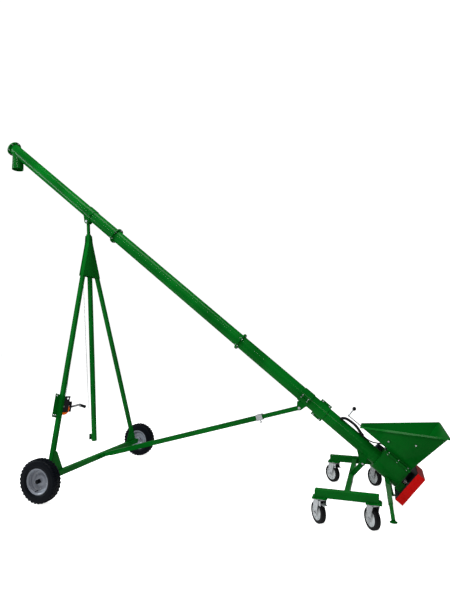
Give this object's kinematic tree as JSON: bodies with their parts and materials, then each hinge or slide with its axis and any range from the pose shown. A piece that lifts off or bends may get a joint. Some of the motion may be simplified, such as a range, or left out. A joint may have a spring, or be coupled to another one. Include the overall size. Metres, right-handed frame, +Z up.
{
  "type": "grain auger",
  "caption": "Mobile inclined tube auger with a feed hopper, belt-driven screw, telescoping A-frame on road wheels and a caster trolley under the intake.",
  "frame": {"origin": "On the floor under the middle of the overall length and width, so z = 0 is the floor.", "axes": "+X runs level along the tube from the discharge head towards the intake hopper, +Y is across the machine towards the motor side, +Z is up."},
  "size_m": [4.907, 1.94, 3.9564],
  "materials": {
    "green_paint": "gloss enamel",
    "red_paint": "gloss enamel",
    "black_paint": "satin",
    "dark_paint": "satin",
    "orange_paint": "gloss",
    "zinc_steel": "zinc plated",
    "rim_paint": "silver paint",
    "tyre": "matt rubber",
    "caster_tyre": "matt rubber on a light rim",
    "bare_steel": "worn bright",
    "cast_grey": "painted casting",
    "belt_rubber": "matt",
    "cable_rubber": "satin",
    "wire_rope": "galvanised strand",
    "black_plastic": "moulded"
  },
  "bodies": {
    "auger": {"tube_upper": "green_paint", "tube_middle": "green_paint", "tube_lower": "green_paint", "head_plate": "green_paint", "flange_bolts": "zinc_steel", "intake_box": "green_paint", "hopper": "green_paint", "hopper_grid": "zinc_steel", "hopper_bolts": "zinc_steel", "tail_bearing": "cast_grey", "belt_plate": "black_paint", "belt_guard": "red_paint", "drive_belt": "belt_rubber", "motor_body": "dark_paint", "motor_cable": "cable_rubber", "coupling_halves": "green_paint", "rod_clamp_top": "green_paint", "rod_clamp_bottom": "green_paint", "mast_clamp": "green_paint", "clamp_bolts": "zinc_steel"},
    "screw": {"screw_shaft": "bare_steel", "screw_flights": "bare_steel", "screw_pulley": "bare_steel"},
    "motor_rotor": {"motor_rotor": "bare_steel"},
    "gate": {"gate": "zinc_steel", "gate_knob": "black_plastic"},
    "stand_leg_near": {"stand_leg_near": "green_paint"},
    "stand_leg_far": {"stand_leg_far": "green_paint"},
    "mast": {"mast": "green_paint"},
    "mast_pulley": {"mast_pulley": "black_plastic"},
    "chassis": {"axle_beam": "green_paint", "frame_leg_near": "green_paint", "frame_leg_far": "green_paint", "mast_sleeve": "green_paint", "winch_frame": "black_paint", "winch_cover": "orange_paint", "lift_cable": "wire_rope", "winch_cable": "wire_rope"},
    "winch": {"winch_drum": "zinc_steel", "winch_crank": "zinc_steel"},
    "road_wheel_near": {"wheel_rim_near": "rim_paint", "wheel_tyre_near": "tyre"},
    "road_wheel_far": {"wheel_rim_far": "rim_paint", "wheel_tyre_far": "tyre"},
    "tie_rod": {"tie_rod_outer": "green_paint", "tie_rod_inner": "green_paint", "tie_rod_collar": "zinc_steel"},
    "trolley": {"trolley_beam_near": "green_paint", "trolley_beam_far": "green_paint", "trolley_spine": "green_paint"},
    "caster_near_upper": {"caster_fork_near_upper": "zinc_steel"},
    "caster_wheel_near_upper": {"caster_wheel_near_upper": "caster_tyre"},
    "caster_near_lower": {"caster_fork_near_lower": "zinc_steel"},
    "caster_wheel_near_lower": {"caster_wheel_near_lower": "caster_tyre"},
    "caster_far_upper": {"caster_fork_far_upper": "zinc_steel"},
    "caster_wheel_far_upper": {"caster_wheel_far_upper": "caster_tyre"},
    "caster_far_lower": {"caster_fork_far_lower": "zinc_steel"},
    "caster_wheel_far_lower": {"caster_wheel_far_lower": "caster_tyre"},
    "brake_near": {"brake_pedal_near": "black_plastic"},
    "brake_far": {"brake_pedal_far": "black_plastic"}
  },
  "joints": [
    {"name": "screw_spin", "type": "hinge", "parent": "auger", "child": "screw", "pos_m": [-1.06651, 0, 2.81], "axis": [0.7771, 0, -0.6293], "continuous": true},
    {"name": "motor_spin", "type": "hinge", "parent": "auger", "child": "motor_rotor", "pos_m": [2.12608, 0.178, 0.23756], "axis": [0.7771, 0, -0.6293], "continuous": true},
    {"name": "gate_slide", "type": "slide", "parent": "auger", "child": "gate", "axis": [-0.7771, 0, 0.6293], "range_m": [0, 0.22]},
    {"name": "stand_slide_near", "type": "slide", "parent": "auger", "child": "stand_leg_near", "axis": [-0.1126, 0.7424, 0.6605], "range_m": [0, 0.09]},
    {"name": "stand_slide_far", "type": "slide", "parent": "auger", "child": "stand_leg_far", "axis": [-0.1126, -0.7424, 0.6605], "range_m": [0, 0.09]},
    {"name": "mast_tilt", "type": "hinge", "parent": "auger", "child": "mast", "pos_m": [-1.26651, 0, 2.855], "axis": [0, -1, 0], "range_deg": [0, 3.75]},
    {"name": "mast_lift", "type": "slide", "parent": "mast", "child": "chassis", "axis": [0.0591, 0, -0.9983], "range_m": [0, 0.6], "deforming": ["lift_cable"]},
    {"name": "mast_pulley_spin", "type": "hinge", "parent": "mast", "child": "mast_pulley", "pos_m": [-1.16345, 0, 0.40481], "axis": [-0.9983, 0, -0.0591], "range_deg": [0, 1577.95]},
    {"name": "winch_turn", "type": "hinge", "parent": "chassis", "child": "winch", "pos_m": [-1.09865, -0.58743, 0.82756], "axis": [0, -0.9508, 0.3099], "range_deg": [0, 3698.5]},
    {"name": "road_wheel_spin_near", "type": "hinge", "parent": "chassis", "child": "road_wheel_near", "pos_m": [-1.06651, -0.92, 0.2], "axis": [0, 1, 0], "continuous": true},
    {"name": "road_wheel_spin_far", "type": "hinge", "parent": "chassis", "child": "road_wheel_far", "pos_m": [-1.06651, 0.92, 0.2], "axis": [0, 1, 0], "continuous": true},
    {"name": "tie_rod_swing", "type": "hinge", "parent": "auger", "child": "tie_rod", "pos_m": [1.17949, 0, 0.841], "axis": [0, -1, 0], "range_deg": [0, 15.83]},
    {"name": "trolley_tilt", "type": "hinge", "parent": "auger", "child": "trolley", "pos_m": [1.74949, 0, 0.368], "axis": [0, -1, 0], "range_deg": [0, 12.46]},
    {"name": "caster_swivel_near_upper", "type": "hinge", "parent": "trolley", "child": "caster_near_upper", "pos_m": [1.43549, -0.58, 0.2], "axis": [0, 0, 1], "continuous": true},
    {"name": "caster_roll_near_upper", "type": "hinge", "parent": "caster_near_upper", "child": "caster_wheel_near_upper", "pos_m": [1.41825, -0.55794, 0.09], "axis": [0.788, 0.6157, 0], "continuous": true},
    {"name": "caster_swivel_near_lower", "type": "hinge", "parent": "trolley", "child": "caster_near_lower", "pos_m": [1.85549, -0.58, 0.2], "axis": [0, 0, 1], "continuous": true},
    {"name": "caster_roll_near_lower", "type": "hinge", "parent": "caster_near_lower", "child": "caster_wheel_near_lower", "pos_m": [1.83943, -0.55706, 0.09], "axis": [0.8192, 0.5736, 0], "continuous": true},
    {"name": "caster_swivel_far_upper", "type": "hinge", "parent": "trolley", "child": "caster_far_upper", "pos_m": [1.43549, 0.58, 0.2], "axis": [0, 0, 1], "continuous": true},
    {"name": "caster_roll_far_upper", "type": "hinge", "parent": "caster_far_upper", "child": "caster_wheel_far_upper", "pos_m": [1.41468, 0.59874, 0.09], "axis": [0.6691, 0.7431, 0], "continuous": true},
    {"name": "caster_swivel_far_lower", "type": "hinge", "parent": "trolley", "child": "caster_far_lower", "pos_m": [1.85549, 0.58, 0.2], "axis": [0, 0, 1], "continuous": true},
    {"name": "caster_roll_far_lower", "type": "hinge", "parent": "caster_far_lower", "child": "caster_wheel_far_lower", "pos_m": [1.83712, 0.60113, 0.09], "axis": [0.7547, 0.6561, 0], "continuous": true},
    {"name": "brake_press_near", "type": "hinge", "parent": "caster_near_upper", "child": "brake_near", "pos_m": [1.46011, -0.61152, 0.172], "axis": [0.788, 0.6157, 0], "range_deg": [0, 18]},
    {"name": "brake_press_far", "type": "hinge", "parent": "caster_far_upper", "child": "brake_far", "pos_m": [1.46521, 0.55324, 0.172], "axis": [0.6691, 0.7431, 0], "range_deg": [0, 18]}
  ],
  "couplings": [
    {"joint": "motor_spin", "follows": "screw_spin", "ratio": 2.0833},
    {"joint": "mast_tilt", "follows": "mast_lift", "rad_per_m": 0.10747},
    {"joint": "tie_rod_swing", "follows": "mast_lift", "rad_per_m": 0.45906},
    {"joint": "trolley_tilt", "follows": "mast_lift", "rad_per_m": 0.36108},
    {"joint": "mast_pulley_spin", "follows": "mast_lift", "rad_per_m": 45.872},
    {"joint": "winch_turn", "follows": "mast_lift", "rad_per_m": 107.53}
  ]
}
